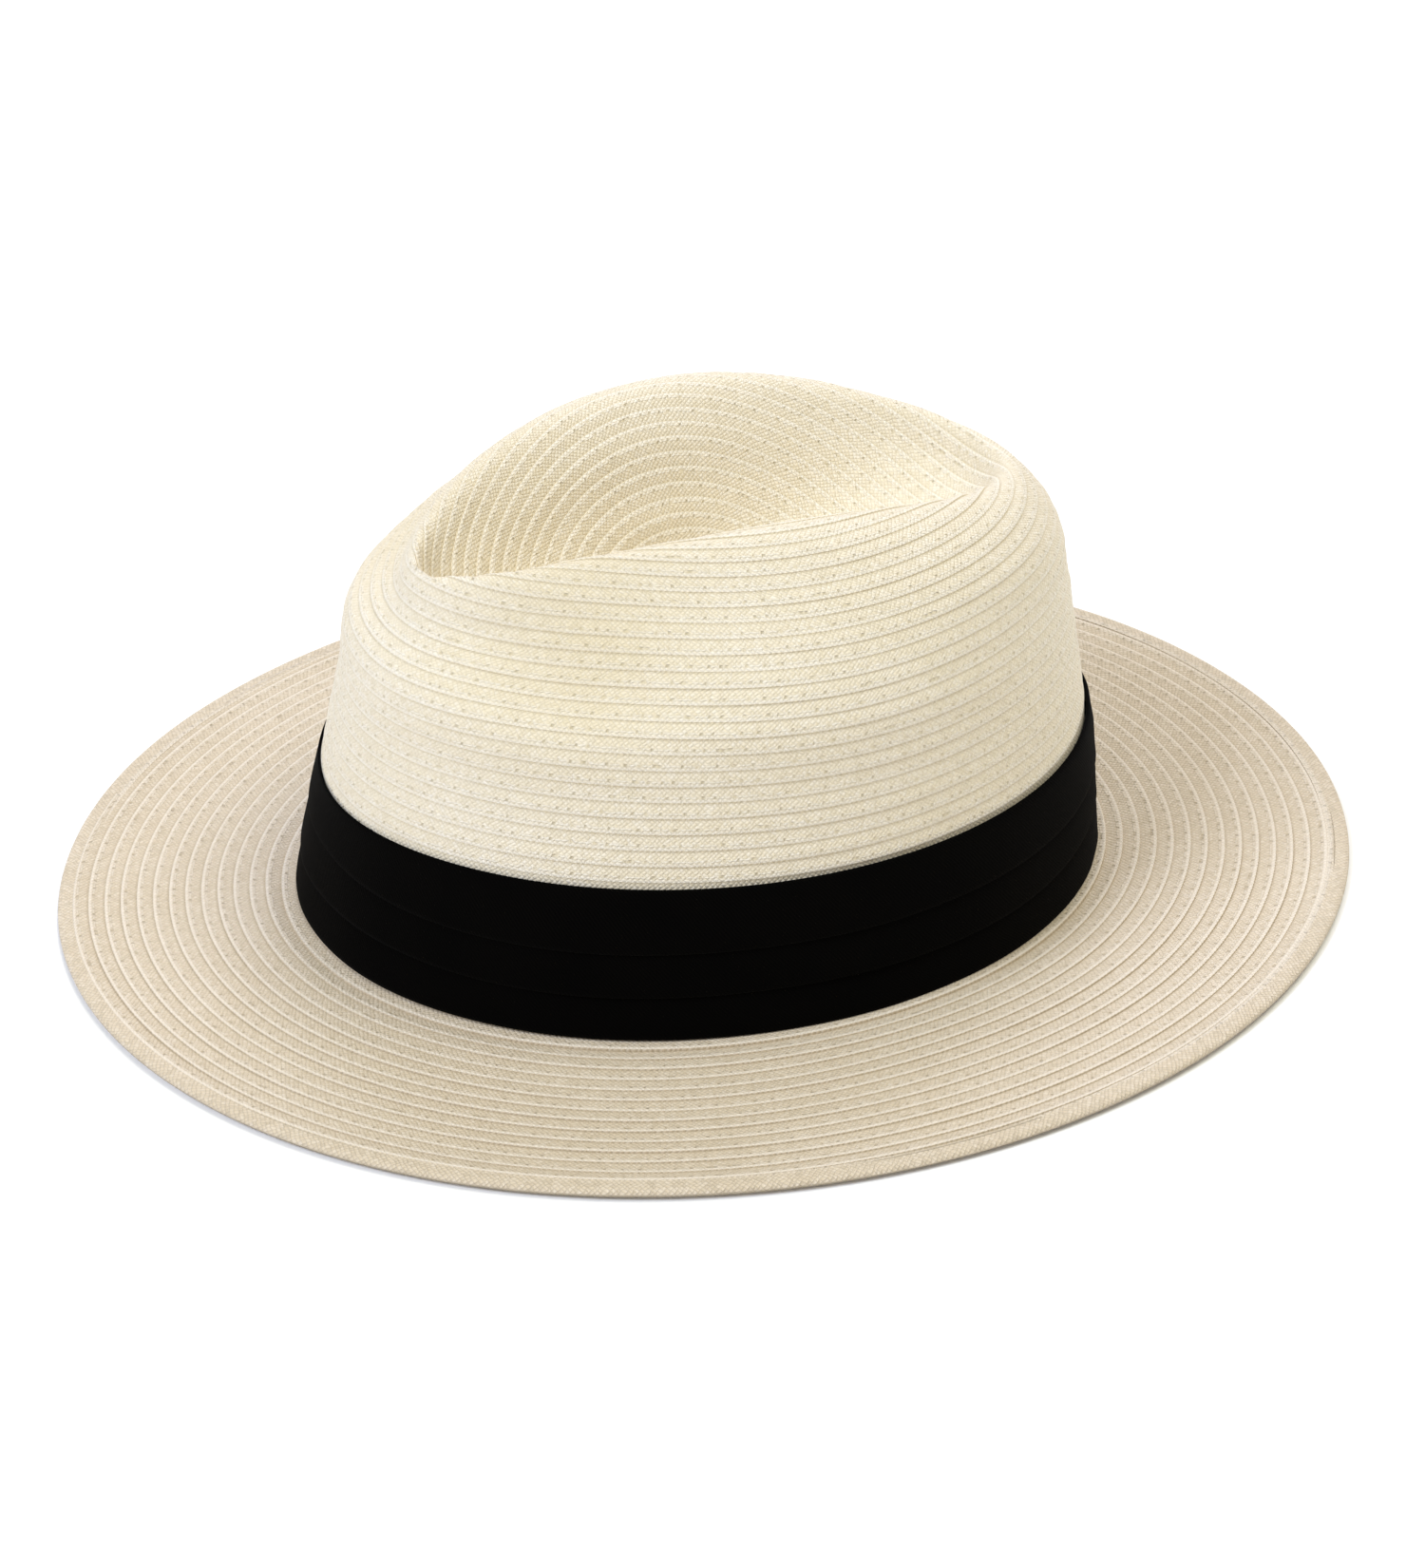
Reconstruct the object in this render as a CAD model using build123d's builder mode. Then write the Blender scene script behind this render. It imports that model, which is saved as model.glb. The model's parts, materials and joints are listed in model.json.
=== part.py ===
from build123d import *
from math import asin, cos, degrees, radians, sin
import os

# A sewn-braid hat that stands on its brim. Millimetres and degrees, +Z up, the front is -Y.
# Angles round the hat start at the front and turn through the wearer's left side, +X.

# ---- headline and crown ----
head_half_length = 102.4      # outside of the straw where crown and brim meet, front to back
head_half_width = 83.6
headline_height = 3.5         # middle of the headline over the surface that the hat stands on
crown_lean = 1.26             # the crown leans back by this angle
straw = 1.2                   # thickness of the lapped braid rows
tip_height = 74.0             # crease floor over the headline
ridge_height = 102.1          # mean height of the ridge round the crease
ridge_front_rise = 1.9        # how much the front of the ridge stands above its back, halved
ridge_side_rise = 6.7         # how much the sides stand above the ends, halved
ridge_front_dip = 0.5
ring_points = 36              # points on each closed ring
rings_per_span = 3            # rings lofted for each span between two named rings
strip_step = 8.0              # angle between the points of a strip along the wall
fewest_strip_points = 5

# ---- brim and its edge ----
brim_width = 62.0             # mean width from the headline to the edge
brim_front_narrowing = 2.7
brim_end_widening = 0.7
brim_slope_power = 1.5        # the brim levels out towards its edge
brim_rings = 7
brim_base = 20.0
seam_gap = 0.08               # room for the thread between crown and brim
edge_row_width = 6.5
edge_row_thickness = 2.6
edge_row_wall = 0.5
edge_round = 1.0
wire_diameter = 0.9
wire_inset = 1.35             # middle of the wire from the brim's outer edge
wire_end_gap = 0.25           # angle left between the wire's ends, halved
ferrule_outside = 1.5
ferrule_bore = 1.0
ferrule_length = 16.0
brim_in_fold = 2.3            # the brim stops this far inside the outer edge

# ---- hatband ----
band_height = 38.0
band_foot = 0.4               # lower edge of the band over the headline
band_backing_gap = 0.12
band_backing_thickness = 0.4
band_gap = 0.6                # inside of the pleated cloth from the straw
band_thickness = 1.2
keeper_gap = 0.15
keeper_thickness = 0.8
keeper_width = 20.0
tack_angles = (40, 90, 140, 220, 270, 320)
tack_half_angle = 0.25
tack_length = 1.6
tack_head = 37.4              # top of a tack, just under the band's upper edge
tack_thickness = 0.4

# ---- sweatband and size adjuster ----
sweat_gap = 0.3
sweat_thickness = 0.9
sweat_foot = 0.6
sweat_height = 29.0
sweat_opening = 3.5           # half of the angle left open at the back
stitch_count = 88
stitch_length = 3.2
stitch_width = 0.6
stitch_thickness = 0.3
stitch_height = 3.6
strap_foot = 9.0
strap_head = 21.0
strap_thickness = 0.9
strap_clearance = 0.4
strap_start = 169.0           # the hinge line of the strap
strap_end = 209.0
strap_base_start = 161.0
strap_base_end = 168.6
pad_start = 186.0
pad_end = 207.0
pad_thickness = 0.8
label_start = 222.0
label_end = 238.0
label_foot = 6.0
label_head = 24.0
label_thickness = 0.3
skin_gap = 0.05               # between layers sewn flat on each other

plate_top = (edge_row_thickness + straw) / 2
head_centre = -brim_front_narrowing      # the brim is centred on the origin, the head a little forward
crown_plane = Plane((0, head_centre, headline_height)).rotated((-crown_lean, 0, 0))

# Rings of the crown from the headline to the tip: half length, half width, how much narrower the front
# is than the back, shift towards the back, and height. A height is measured from the headline, or down
# from the ridge, or as a share of the way from the crease floor to the ridge.
crown_rings = (
    (head_half_length, head_half_width, 0.00, 0.0, ("headline", 0.0)),
    (97.3, 79.9, 0.00, 0.7, ("headline", band_height)),
    (93.4, 75.7, 0.00, 0.7, ("headline", 60.0)),
    (91.4, 73.2, 0.00, 0.0, ("headline", 74.0)),
    (85.8, 57.2, 0.16, 3.3, ("ridge", 10.0)),
    (78.6, 40.0, 0.16, 0.2, ("ridge", 0.0)),
    (74.0, 30.0, 0.22, -1.0, ("ridge", 7.0)),
    (61.0, 20.0, 0.24, -2.0, ("wall", 0.35)),
    (32.0, 11.0, 0.20, 1.0, ("floor", 3.0)),
    (8.0, 4.0, 0.00, 0.0, ("headline", tip_height)),
)
last_ring = len(crown_rings) - 1


def ring_height(kind, value, theta):
    """Height of a crown ring over the headline at an angle in radians."""
    ridge = ridge_height + ridge_front_rise * cos(theta) - ridge_side_rise * cos(2 * theta)
    ridge -= ridge_front_dip * cos(3 * theta)
    if kind == "ridge":
        return ridge - value
    if kind == "wall":
        return tip_height + value * (ridge - tip_height)
    if kind == "floor":
        return tip_height + 1 + value * cos(2 * theta)
    return value


def ring_point(number, theta):
    """Point of one crown ring, in the crown's own plane."""
    half_length, half_width, nip, shift, height = crown_rings[number]
    x = half_width * sin(theta) * (1 - nip * cos(theta))
    y = shift - half_length * cos(theta)
    return Vector(x, y, ring_height(*height, theta))


def ring_slope(number, theta):
    """Direction of the crown's profile as it crosses a ring, per millimetre."""
    here = ring_point(number, theta)
    back = ring_point(number - 1, theta)
    if number == last_ring:
        return (here - back).normalized()
    on = ring_point(number + 1, theta)
    before = (here - back).length
    after = (on - here).length
    return ((here - back) * (after / before) + (on - here) * (before / after)) / (before + after)


def profile(theta, place):
    """Outside of the crown at a ring number that may be a fraction; straight under the band."""
    start = min(int(max(place, 0)), last_ring - 1)
    share = place - start
    low = ring_point(start, theta)
    high = ring_point(start + 1, theta)
    if start == 0:
        return low + (high - low) * share
    span = (high - low).length
    leave = ring_slope(start, theta) * span
    arrive = ring_slope(start + 1, theta) * span
    cube = share**3
    square = share**2
    point = low * (2 * cube - 3 * square + 1) + high * (3 * square - 2 * cube)
    return point + leave * (cube - 2 * square + share) + arrive * (cube - square)


def crown_point(theta, place, depth):
    """Point of the crown's skin, moved inwards by a depth."""
    spot = profile(theta, place)
    step = 0.01
    around = profile(theta + step, place) - profile(theta - step, place)
    if place <= 1:
        outward = Vector(around.Y, -around.X, 0)
    elif place == last_ring:
        outward = Vector(0, 0, 1)
    else:
        along = profile(theta, place + step) - profile(theta, place - step)
        outward = around.cross(along)
    return spot - outward.normalized() * depth


def turn(count, start=0.0, end=360.0, closed=True):
    """Angles in radians, evenly spaced between two angles in degrees."""
    steps = count if closed else count - 1
    return [radians(start + (end - start) * i / steps) for i in range(count)]


def wall_points(height, depth, angles):
    """Points at one height of the straight wall under the band, in the plane of that height."""
    spots = [crown_point(theta, height / band_height, depth) for theta in angles]
    return [(spot.X, spot.Y) for spot in spots]


def dome(depth):
    """The crown's form above the band, moved inwards by a depth."""
    wires = []
    for step in range(rings_per_span * (last_ring - 1) + 1):
        place = 1 + step / rings_per_span
        spots = [crown_point(theta, place, depth) for theta in turn(ring_points)]
        with BuildLine() as ring:
            Spline(*[crown_plane.from_local_coords(spot) for spot in spots], periodic=True)
        wires.append(ring.wire())
    return Solid.make_loft(wires)


def closed_wall(height, depth):
    """Sketch of the whole oval at one height of the wall."""
    with BuildSketch(crown_plane.offset(height)) as oval:
        with BuildLine():
            Spline(*wall_points(height, depth, turn(ring_points)), periodic=True)
        make_face()
    return oval.sketch


def wall_strip(height, outer_depth, inner_depth, start, end):
    """Sketch of a strip that follows the wall between two angles."""
    count = max(fewest_strip_points, int((end - start) / strip_step))
    angles = turn(count, start, end, closed=False)
    with BuildSketch(crown_plane.offset(height)) as strip:
        with BuildLine():
            outer = Spline(*wall_points(height, outer_depth, angles))
            inner = Spline(*wall_points(height, inner_depth, angles))
            Line(outer @ 0, inner @ 0)
            Line(outer @ 1, inner @ 1)
        make_face()
    return strip.sketch


def brim_width_at(theta):
    """Width of the brim from the headline to its edge."""
    return brim_width - brim_front_narrowing * cos(theta) + brim_end_widening * cos(2 * theta)


def brim_spot(theta, out):
    """Flat place on the brim at a distance out from the headline."""
    across = Vector(sin(theta) / head_half_width, -cos(theta) / head_half_length).normalized()
    start = Vector(head_half_width * sin(theta), head_centre - head_half_length * cos(theta))
    return start + across * out


def brim_top(theta, out):
    """Point on the top of the brim; inside the headline it lies in the crown's plane."""
    spot = brim_spot(theta, out)
    root = brim_spot(theta, min(out, 0))
    root_height = headline_height - seam_gap - sin(radians(crown_lean)) * (root.Y - head_centre)
    fall = (1 - max(out, 0) / brim_width_at(theta)) ** brim_slope_power
    return Vector(spot.X, spot.Y, plate_top + (root_height - plate_top) * fall)


def brim_form(drop, beyond):
    """Everything under the top of the brim, lowered by a drop and reaching beyond the brim's plate."""
    rings = []
    for step in range(brim_rings + 1):
        share = 1 - step / brim_rings
        reaches = [share * (brim_width_at(theta) - brim_in_fold + beyond) for theta in turn(ring_points)]
        rings.append([brim_top(theta, out) for theta, out in zip(turn(ring_points), reaches)])
    rings.append([brim_top(theta, -2 * straw) for theta in turn(ring_points)])
    rings.insert(0, [Vector(spot.X, spot.Y, -brim_base) for spot in rings[0]])
    wires = []
    for ring in rings:
        with BuildLine() as line:
            Spline(*[spot - Vector(0, 0, drop) for spot in ring], periodic=True)
        wires.append(line.wire())
    return Solid.make_loft(wires, ruled=True)


def edge_outline(inset):
    """Flat outline at an inset from the brim's outer edge."""
    spots = [brim_spot(theta, brim_width_at(theta) - inset) for theta in turn(ring_points)]
    return [(spot.X, spot.Y) for spot in spots]


def edge_ring(height, outer_inset, inner_inset):
    """Sketch of a flat ring between two insets from the brim's outer edge."""
    with BuildSketch(Plane.XY.offset(height)) as ring:
        with BuildLine():
            Spline(*edge_outline(outer_inset), periodic=True)
        make_face()
        with BuildLine():
            Spline(*edge_outline(inner_inset), periodic=True)
        make_face(mode=Mode.SUBTRACT)
    return ring.sketch


# ---- crown: a straight wall under the band and the creased dome above it ----
dome_outside = dome(0)
dome_inside = dome(straw)

with BuildPart() as crown:
    loft([closed_wall(0, 0), closed_wall(band_height, 0)])
    add(dome_outside)
    loft([closed_wall(-straw, straw), closed_wall(band_height, straw)], mode=Mode.SUBTRACT)
    add(dome_inside, mode=Mode.SUBTRACT)

# ---- brim: what lies under its top, less what lies under its underside ----
brim_over = brim_form(0, 0)
brim_under = brim_form(straw, straw)

with BuildSketch() as brim_hole:
    with BuildLine():
        Spline(*[(spot.X, spot.Y) for spot in [brim_spot(theta, -straw) for theta in turn(ring_points)]],
               periodic=True)
    make_face()

with BuildPart() as brim:
    add(brim_over)
    add(brim_under, mode=Mode.SUBTRACT)
    extrude(brim_hole.sketch, amount=brim_base, both=True, mode=Mode.SUBTRACT)

# ---- the last braid row, folded round the edge, and the wire that it holds ----
with BuildPart() as brim_edge_row:
    extrude(edge_ring(0, 0, edge_row_width), amount=edge_row_thickness)
    fillet(brim_edge_row.edges().group_by(SortBy.LENGTH)[-1], edge_round)
    fold = edge_ring(edge_row_wall, edge_row_wall, edge_row_width + 1)
    extrude(fold, amount=edge_row_thickness - 2 * edge_row_wall, mode=Mode.SUBTRACT)


def wire_sweep(start, end, diameter):
    """Round bar along the wire's line between two angles."""
    angles = turn(2 * ring_points, start, end, closed=False)
    spots = [brim_spot(theta, brim_width_at(theta) - wire_inset) for theta in angles]
    with BuildPart() as bar:
        with BuildLine() as line:
            Spline(*[(spot.X, spot.Y, edge_row_thickness / 2) for spot in spots])
        with BuildSketch(Plane(line.line @ 0, z_dir=line.line % 0)):
            Circle(diameter / 2)
        sweep()
    return bar.part


with BuildPart() as brim_wire:
    add(wire_sweep(180 + wire_end_gap, 540 - wire_end_gap, wire_diameter))

ferrule_reach = degrees(ferrule_length / 2 / (head_half_width + brim_width))
with BuildPart() as wire_ferrule:
    add(wire_sweep(180 - ferrule_reach, 180 + ferrule_reach, ferrule_outside))
    add(wire_sweep(180 - ferrule_reach, 180 + ferrule_reach, ferrule_bore), mode=Mode.SUBTRACT)


# ---- hatband, its backing, the keeper over its join and its tacks ----
def band_ring(gap, thickness):
    """Lofted ring round the wall, between two distances from the straw."""
    with BuildPart() as ring:
        loft([closed_wall(height, -gap - thickness) for height in (band_foot, band_height)])
        loft([closed_wall(height, -gap) for height in (band_foot, band_height)], mode=Mode.SUBTRACT)
    return ring.part


def wall_piece(foot, head, outer_depth, inner_depth, start, end):
    """Flat-lying piece on the wall between two heights, two depths and two angles."""
    with BuildPart() as piece:
        loft([wall_strip(height, outer_depth, inner_depth, start, end) for height in (foot, head)])
    return piece.part


band_outside = band_gap + band_thickness
keeper_reach = degrees(asin(keeper_width / 2 / (head_half_width + band_outside)))

with BuildPart() as hatband_backing:
    add(band_ring(band_backing_gap, band_backing_thickness))

with BuildPart() as hatband:
    add(band_ring(band_gap, band_thickness))

with BuildPart() as hatband_keeper:
    keeper_inside = band_outside + keeper_gap
    keeper_depths = (-keeper_inside - keeper_thickness, -keeper_inside)
    add(wall_piece(band_foot, band_height, *keeper_depths, 180 - keeper_reach, 180 + keeper_reach))

with BuildPart() as hatband_tacks:
    tack_depths = (-band_outside - skin_gap - tack_thickness, -band_outside - skin_gap)
    for angle in tack_angles:
        tack_sides = (angle - tack_half_angle, angle + tack_half_angle)
        add(wall_piece(tack_head - tack_length, tack_head, *tack_depths, *tack_sides))

# ---- sweatband, sewn in along its foot and open at the back ----
sweat_outside = straw + sweat_gap
sweat_inside = sweat_outside + sweat_thickness

with BuildPart() as sweatband:
    sweat_sides = (180 + sweat_opening, 540 - sweat_opening)
    add(wall_piece(sweat_foot, sweat_height, sweat_outside, sweat_inside, *sweat_sides))

stitch_planes = []
for theta in turn(stitch_count, 180 + 2 * sweat_opening, 540 - 2 * sweat_opening, closed=False):
    stitch_place = stitch_height / band_height
    stitch_depth = sweat_inside + skin_gap + stitch_thickness / 2
    here = crown_plane.from_local_coords(crown_point(theta, stitch_place, stitch_depth))
    inner = crown_plane.from_local_coords(crown_point(theta, stitch_place, stitch_depth + 1))
    above = crown_plane.from_local_coords(crown_point(theta, stitch_place + 0.1, stitch_depth))
    stitch_planes.append(Plane(here, x_dir=(above - here).cross(inner - here), z_dir=inner - here))

with BuildPart() as sweatband_stitches:
    with Locations(*stitch_planes):
        Box(stitch_length, stitch_width, stitch_thickness)

# ---- size adjuster: a strap hinged on its sewn end, pressed on a loop pad across the opening ----
pad_inside = sweat_inside + skin_gap + pad_thickness
strap_outside = pad_inside + strap_clearance
strap_inside = strap_outside + strap_thickness
strap_heights = (strap_foot, strap_head)
on_sweatband = sweat_inside + skin_gap

with BuildPart() as size_strap:
    add(wall_piece(*strap_heights, strap_outside, strap_inside, strap_start, strap_end))

with BuildPart() as size_strap_base:
    add(wall_piece(*strap_heights, on_sweatband, strap_inside, strap_base_start, strap_base_end))

with BuildPart() as size_strap_pad:
    add(wall_piece(*strap_heights, on_sweatband, pad_inside, pad_start, pad_end))

with BuildPart() as size_label:
    label_inside = on_sweatband + label_thickness
    add(wall_piece(label_foot, label_head, on_sweatband, label_inside, label_start, label_end))

pieces = {
    "crown": crown,
    "brim": brim,
    "brim_edge_row": brim_edge_row,
    "brim_wire": brim_wire,
    "wire_ferrule": wire_ferrule,
    "hatband_backing": hatband_backing,
    "hatband": hatband,
    "hatband_keeper": hatband_keeper,
    "hatband_tacks": hatband_tacks,
    "sweatband": sweatband,
    "sweatband_stitches": sweatband_stitches,
    "size_strap": size_strap,
    "size_strap_base": size_strap_base,
    "size_strap_pad": size_strap_pad,
    "size_label": size_label,
}
os.makedirs("parts", exist_ok=True)
for name, piece in pieces.items():
    piece.part.label = name
    export_step(piece.part, f"parts/{name}.step")

hinge = crown_plane.from_local_coords(
    crown_point(radians(strap_start), (strap_foot + strap_head) / 2 / band_height, strap_inside)
)
print("strap hinge point, mm:", hinge, "direction:", crown_plane.z_dir)
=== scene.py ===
import json
import math

import bmesh
import bpy
import numpy as np
from mathutils import Matrix, Vector


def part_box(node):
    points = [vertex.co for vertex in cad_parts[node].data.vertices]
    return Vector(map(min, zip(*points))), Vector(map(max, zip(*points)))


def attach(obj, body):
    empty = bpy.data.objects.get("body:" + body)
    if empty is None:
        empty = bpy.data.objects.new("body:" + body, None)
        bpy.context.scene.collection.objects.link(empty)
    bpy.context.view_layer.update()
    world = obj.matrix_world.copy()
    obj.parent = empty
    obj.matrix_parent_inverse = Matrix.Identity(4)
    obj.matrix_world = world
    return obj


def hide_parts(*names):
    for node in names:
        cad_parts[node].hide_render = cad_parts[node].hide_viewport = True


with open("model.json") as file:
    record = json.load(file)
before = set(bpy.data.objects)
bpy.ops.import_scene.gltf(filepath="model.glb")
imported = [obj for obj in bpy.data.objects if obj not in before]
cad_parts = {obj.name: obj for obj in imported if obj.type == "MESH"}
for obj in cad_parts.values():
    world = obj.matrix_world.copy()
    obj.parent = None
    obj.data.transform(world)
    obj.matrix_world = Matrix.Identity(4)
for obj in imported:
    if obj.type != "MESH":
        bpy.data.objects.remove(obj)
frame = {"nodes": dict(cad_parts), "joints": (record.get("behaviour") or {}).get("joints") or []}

# A sewn-braid hat. Shapes are worked out in millimetres in the crown's own plane, whose origin is the
# middle of the headline, and then placed in the frame of the whole hat in metres. Angles start at the
# front of the hat and turn through the wearer's left side.

MM = 0.001
TURN = 2 * math.pi
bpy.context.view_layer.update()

# ---- what the frame says ----
crown_low, crown_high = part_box("crown")
edge_low, edge_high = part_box("brim_edge_row")
strap_joint = frame["joints"][0]
LEAN = math.atan2(strap_joint["axis"][1], strap_joint["axis"][2])
HEAD_CENTRE = (crown_low.y + crown_high.y) / 2 / MM
HEAD_HALF_WIDTH = (crown_high.x - crown_low.x) / 2 / MM
HEAD_HALF_LENGTH = (crown_high.y - crown_low.y) / 2 / MM / math.cos(LEAN)
HEADLINE_HEIGHT = crown_low.z / MM + HEAD_HALF_LENGTH * math.sin(LEAN)
BRIM_FRONT = HEAD_CENTRE - edge_low.y / MM - HEAD_HALF_LENGTH
BRIM_BACK = edge_high.y / MM - HEAD_CENTRE - HEAD_HALF_LENGTH
BRIM_SIDE = edge_high.x / MM - HEAD_HALF_WIDTH
EDGE_THICKNESS = (edge_high.z - edge_low.z) / MM

# ---- the hat's other sizes, in millimetres ----
STRAW = 1.2                    # thickness of the lapped rows
BAND_HEIGHT = 38.0             # the wall is straight up to here
WALL_TOP_HALF_LENGTH = 97.3
WALL_TOP_HALF_WIDTH = 79.9
WALL_TOP_SHIFT = 0.7
TIP_HEIGHT = 74.0
RIDGE_HEIGHT = 102.1
RIDGE_FRONT_RISE = 1.9
RIDGE_SIDE_RISE = 6.7
RIDGE_FRONT_DIP = 0.5
RIDGE_RIGHT_DROP = 2.8         # the blocked ridge is lower on the wearer's right
RIDGE_LEFT_LIFT = 1.0
BRIM_SLOPE_POWER = 1.5
EDGE_ROW = 5.6                 # width of the row folded round the edge
# the scale also puts the edge row's lap shade on the outer face of the rim, from just above its outermost
# point onto the underside: painted shadow under the brim's edge
EDGE_GIRTH = 7.6               # how much of its outline one pattern row of the plait takes
BRIM_TUCK = 3.6                # how far the brim's last row goes into the fold
CLOTH = 0.34                   # thickness of the band's cloth
STRAP_LOW, STRAP_HIGH = 9, 21  # edges of the size adjuster over the headline
STITCH_RADIUS = 92             # mean radius of the wall, to turn a stitch's length into an angle

# ---- braid ----
CROWN_ROWS = 49
BRIM_ROWS = 14.65
CROWN_ROW_WIDTH = 4.15
BRIM_ROW_WIDTH = 4.0
LAP_KNOTS = (0, 0.03, 0.12, 0.45, 0.85)  # places across one row, from its folded edge to the next row

# ---- how finely the meshes are divided ----
CROWN_COLUMNS = 240
BRIM_COLUMNS = 440
EDGE_COLUMNS = 480
BAND_COLUMNS = 420
SPAN_STEPS = 16                # rings between two named rings of the crown


# ======================================================================================
# Small helps
# ======================================================================================
def bell(value, middle, width):
    """Smooth bump: 1 at the middle, and next to nothing two widths away."""
    return np.exp(-((value - middle) / width) ** 2)


def full_turn(count):
    """Angles of evenly spaced columns round the hat."""
    return np.arange(count) * TURN / count


def from_front(theta):
    """Angle from the front, up to half a turn to each side; the wearer's left is positive."""
    return np.mod(theta + math.pi, TURN) - math.pi


def waves(theta, count, seed, low=1):
    """Smooth random wander round the hat, about -1 to 1."""
    draw = np.random.default_rng(seed)
    total = np.zeros_like(theta)
    for number in range(low, low + count):
        total = total + draw.normal() * np.cos(number * theta + draw.uniform(0, TURN)) / math.sqrt(count)
    return total


# ======================================================================================
# The hat's form
# ======================================================================================
def oval(theta, half_length, half_width, nip, shift, height):
    """Egg-shaped ring of points; nip narrows the front."""
    x = half_width * np.sin(theta) * (1 - nip * np.cos(theta))
    y = shift - half_length * np.cos(theta)
    return np.stack(np.broadcast_arrays(x, y, height), -1)


def crown_rings(theta):
    """Rings of the crown from the headline to the tip."""
    ridge = RIDGE_HEIGHT + RIDGE_FRONT_RISE * np.cos(theta) - RIDGE_SIDE_RISE * np.cos(2 * theta)
    ridge = ridge - RIDGE_FRONT_DIP * np.cos(3 * theta)
    ridge = ridge - RIDGE_RIGHT_DROP * bell(from_front(theta), -math.radians(35), math.radians(28))
    ridge = ridge + RIDGE_LEFT_LIFT * bell(from_front(theta), math.radians(52), math.radians(18))
    rise = ridge - TIP_HEIGHT
    # each ring: half its length, half its width, nip, shift to the back, height
    return np.array([
        oval(theta, HEAD_HALF_LENGTH, HEAD_HALF_WIDTH, 0.00, 0.0, 0.0),
        oval(theta, WALL_TOP_HALF_LENGTH, WALL_TOP_HALF_WIDTH, 0.00, WALL_TOP_SHIFT, BAND_HEIGHT),
        oval(theta, 93.4, 75.7, 0.00, 0.7, 60.0),
        oval(theta, 91.4, 73.2, 0.00, 0.0, 74.0),
        oval(theta, 85.8, 57.2, 0.16, 3.3, ridge - 10),
        oval(theta, 78.6, 40.0, 0.16, 0.2, ridge),
        oval(theta, 74.0, 30.0, 0.22, -1.0, ridge - 7),
        oval(theta, 61.0, 20.0, 0.24, -2.0, TIP_HEIGHT + 0.35 * rise),
        oval(theta, 32.0, 11.0, 0.20, 1.0, TIP_HEIGHT + 1 + 3 * np.cos(2 * theta)),
        oval(theta, 8.0, 4.0, 0.00, 0.0, TIP_HEIGHT),
        oval(theta, 0.2, 0.1, 0.00, 0.0, TIP_HEIGHT + 0.4),
    ])


def smooth_skin(rings, steps):
    """Dense grid of points on smooth curves through the rings; the first span is straight."""
    chord = np.diff(rings, axis=0)
    span = np.linalg.norm(chord, axis=2)[..., None]
    slope = np.zeros_like(rings)
    before, after = span[:-1], span[1:]
    slope[1:-1] = (chord[:-1] * after / before + chord[1:] * before / after) / (before + after)
    slope[-1] = chord[-1] / span[-1]
    grid = []
    for number in range(len(rings) - 1):
        low, high = rings[number], rings[number + 1]
        for share in np.arange(steps) / steps:
            if number == 0:
                grid.append(low + (high - low) * share)
                continue
            square, cube = share**2, share**3
            point = low * (2 * cube - 3 * square + 1) + high * (3 * square - 2 * cube)
            point = point + slope[number] * span[number] * (cube - 2 * square + share)
            grid.append(point + slope[number + 1] * span[number] * (cube - square))
    grid.append(rings[-1])
    return np.array(grid)


def skin_normals(grid):
    """Outward unit normals of a grid whose second axis goes once round."""
    along = np.gradient(grid, axis=0)
    around = np.roll(grid, -1, axis=1) - np.roll(grid, 1, axis=1)
    normal = np.cross(around, along)
    normal /= np.maximum(np.linalg.norm(normal, axis=2), 1e-9)[..., None]
    normal[-4:] = (0, 0, 1)
    return normal


def brim_width(theta):
    """Width of the brim from the headline to its edge."""
    mean = (BRIM_FRONT + BRIM_BACK) / 4 + BRIM_SIDE / 2
    ends = (BRIM_FRONT + BRIM_BACK) / 4 - BRIM_SIDE / 2
    return mean - (BRIM_BACK - BRIM_FRONT) / 2 * np.cos(theta) + ends * np.cos(2 * theta)


def brim_point(theta, out, lift=0.0):
    """Point of the brim's top in the hat's frame, in millimetres."""
    across = np.stack([np.sin(theta) / HEAD_HALF_WIDTH, -np.cos(theta) / HEAD_HALF_LENGTH], -1)
    across /= np.linalg.norm(across, axis=-1)[..., None]
    head = np.stack([HEAD_HALF_WIDTH * np.sin(theta), -HEAD_HALF_LENGTH * np.cos(theta)], -1)
    out, lift = np.broadcast_to(out, theta.shape), np.broadcast_to(lift, theta.shape)
    spot = head + across * out[..., None]
    plate_top = (EDGE_THICKNESS + STRAW) / 2
    root = HEADLINE_HEIGHT - math.sin(LEAN) * (head[..., 1] + across[..., 1] * np.minimum(out, 0))
    fall = (1 - np.clip(out / brim_width(theta), 0, 1)) ** BRIM_SLOPE_POWER
    height = plate_top + (root - plate_top) * fall + lift
    return np.stack([spot[..., 0], spot[..., 1] + HEAD_CENTRE, height], -1)


def wall_point(theta, height, out):
    """Point of the straight wall under the band: height over the headline, distance out of the straw."""
    theta, height, out = np.broadcast_arrays(theta, height, out)
    share = height / BAND_HEIGHT
    half_length = HEAD_HALF_LENGTH + (WALL_TOP_HALF_LENGTH - HEAD_HALF_LENGTH) * share
    half_width = HEAD_HALF_WIDTH + (WALL_TOP_HALF_WIDTH - HEAD_HALF_WIDTH) * share
    outward = np.stack([half_length * np.sin(theta), -half_width * np.cos(theta)], -1)
    outward /= np.linalg.norm(outward, axis=-1)[..., None]
    x = half_width * np.sin(theta) + outward[..., 0] * out
    y = WALL_TOP_SHIFT * share - half_length * np.cos(theta) + outward[..., 1] * out
    return np.stack([x, y, height], -1)


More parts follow.
